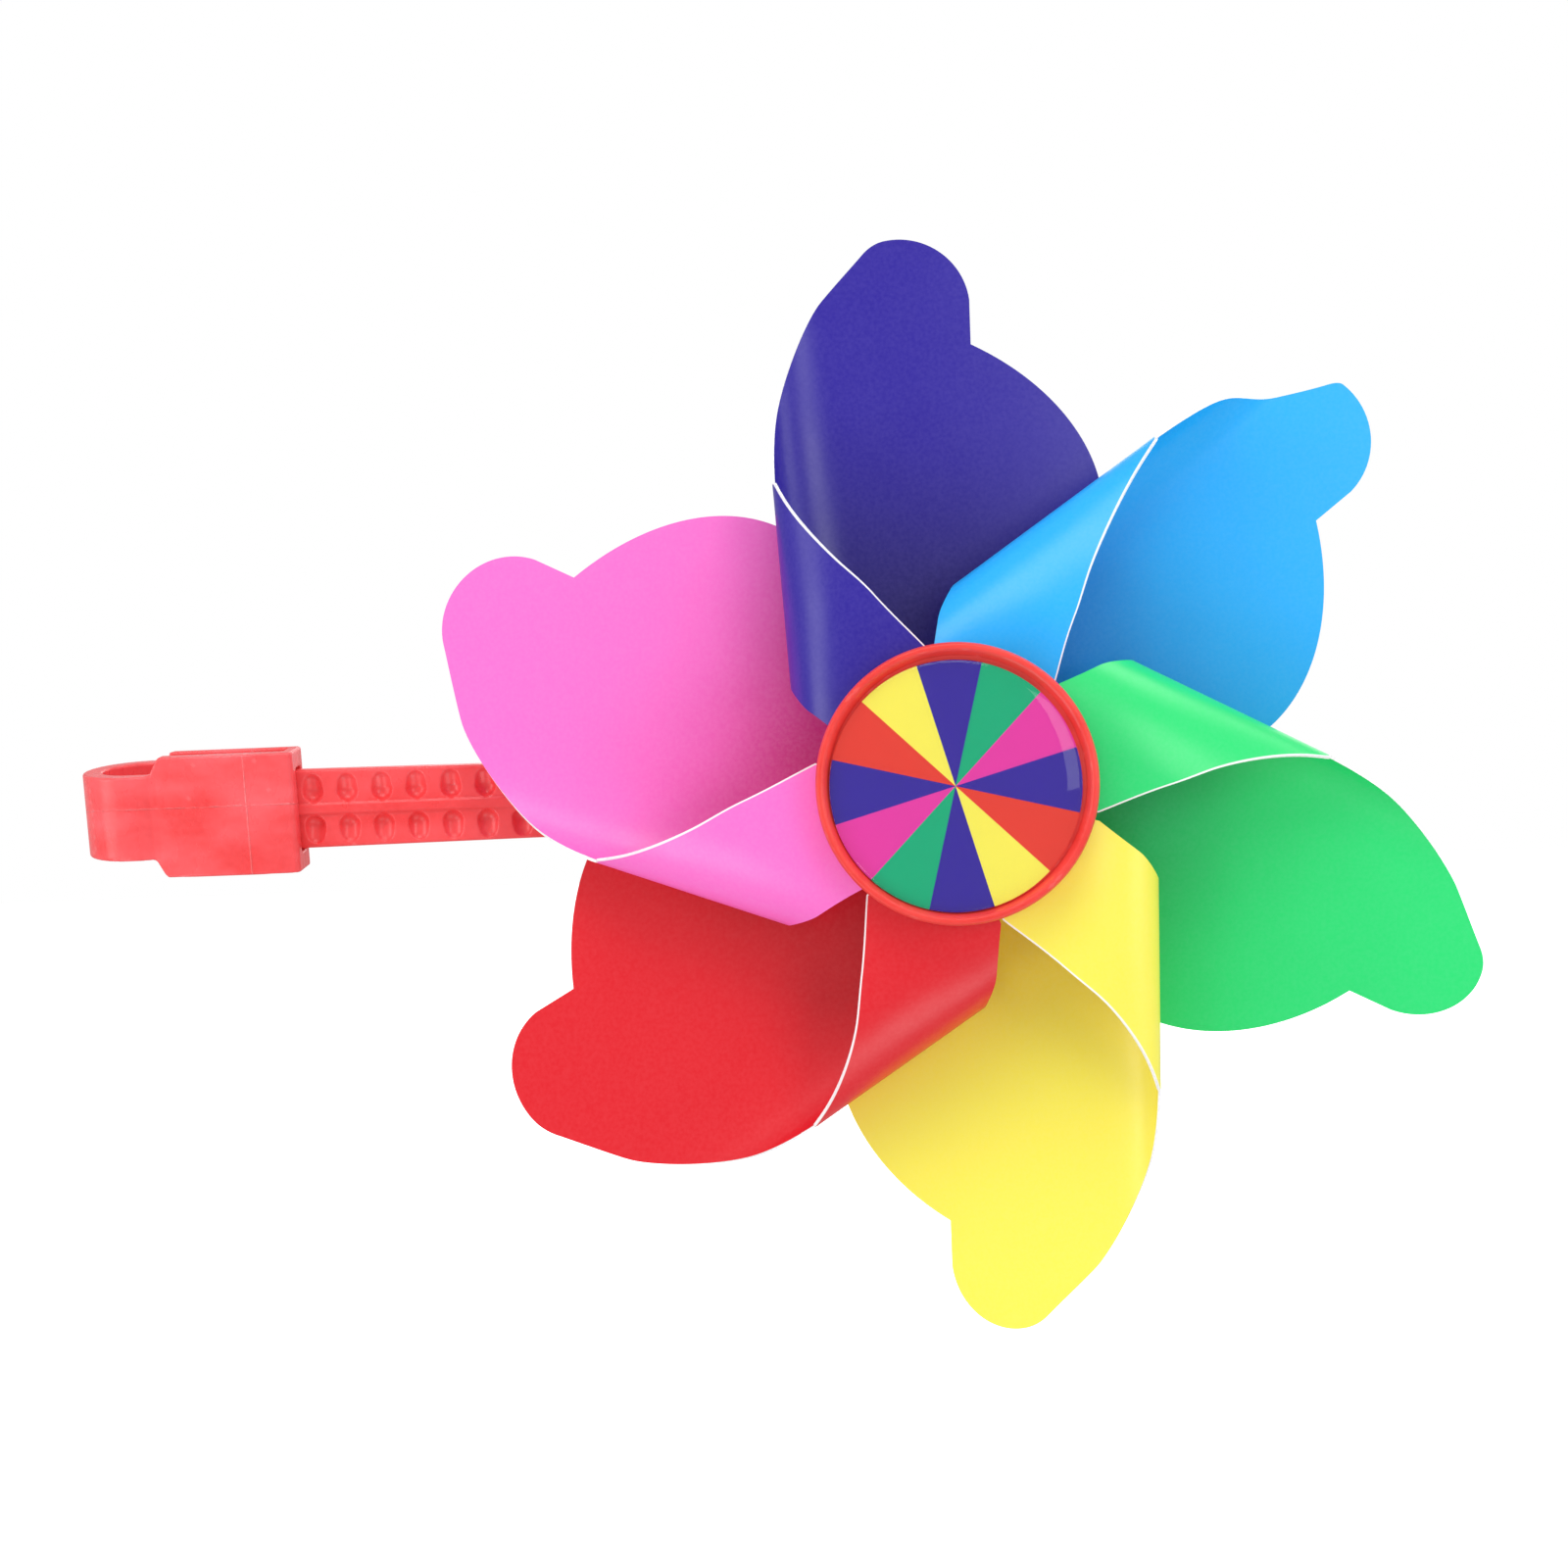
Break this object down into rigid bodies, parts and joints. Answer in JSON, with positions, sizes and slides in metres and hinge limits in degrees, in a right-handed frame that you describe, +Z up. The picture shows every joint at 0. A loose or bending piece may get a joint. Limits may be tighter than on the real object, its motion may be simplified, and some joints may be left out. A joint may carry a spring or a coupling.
{
  "type": "handlebar pinwheel",
  "caption": "Six-blade plastic pinwheel that spins on a hub, with a studded strap and sliding ring buckle that tie its base to a handlebar or rail.",
  "frame": {"origin": "on the spin axis, in the flat rear face of the grip pad that rests on the bar", "axes": "+Z up, +X to the right seen from the front, the wheel faces -Y and spins about the Y axis, the strap runs toward -X"},
  "size_m": [0.2477, 0.0576, 0.1891],
  "materials": {
    "rubber_pad": "matt moulded rubber",
    "red_plastic": "satin moulded plastic",
    "soft_red_plastic": "soft satin moulded plastic, slightly translucent",
    "steel": "plain bright steel",
    "nylon": "natural nylon",
    "purple_sheet": "semi-gloss printed sheet with a white core",
    "blue_sheet": "semi-gloss printed sheet with a white core",
    "green_sheet": "semi-gloss printed sheet with a white core",
    "yellow_sheet": "semi-gloss printed sheet with a white core",
    "red_sheet": "semi-gloss printed sheet with a white core",
    "pink_sheet": "semi-gloss printed sheet with a white core",
    "printed_label": "printed disc of coloured sectors",
    "clear_resin": "clear domed resin"
  },
  "bodies": {
    "mount": {"grip_pad": "rubber_pad", "base_rear_shell": "red_plastic", "base_front_shell": "red_plastic", "base_screw_upper": "steel", "base_screw_lower": "steel", "strap": "soft_red_plastic", "axle_pin": "steel", "axle_push_nut": "steel", "rear_washer": "nylon", "front_washer": "nylon"},
    "rotor": {"rear_hub": "red_plastic", "rear_blade_clamp": "red_plastic", "front_hub": "red_plastic", "front_blade_clamp": "red_plastic", "hub_sleeve": "red_plastic", "rear_bush": "nylon", "front_bush": "nylon", "blade_purple": "purple_sheet", "blade_blue": "blue_sheet", "blade_green": "green_sheet", "blade_yellow": "yellow_sheet", "blade_red": "red_sheet", "blade_pink": "pink_sheet", "front_cap": "red_plastic", "cap_label": "printed_label", "cap_dome": "clear_resin"},
    "buckle": {"strap_buckle": "soft_red_plastic"}
  },
  "joints": [
    {"name": "rotor_spin", "type": "hinge", "parent": "mount", "child": "rotor", "pos_m": [0, 0, 0], "axis": [0, -1, 0], "continuous": true},
    {"name": "buckle_slide", "type": "slide", "parent": "mount", "child": "buckle", "axis": [1, 0, 0], "range_m": [0, 0.012]}
  ]
}
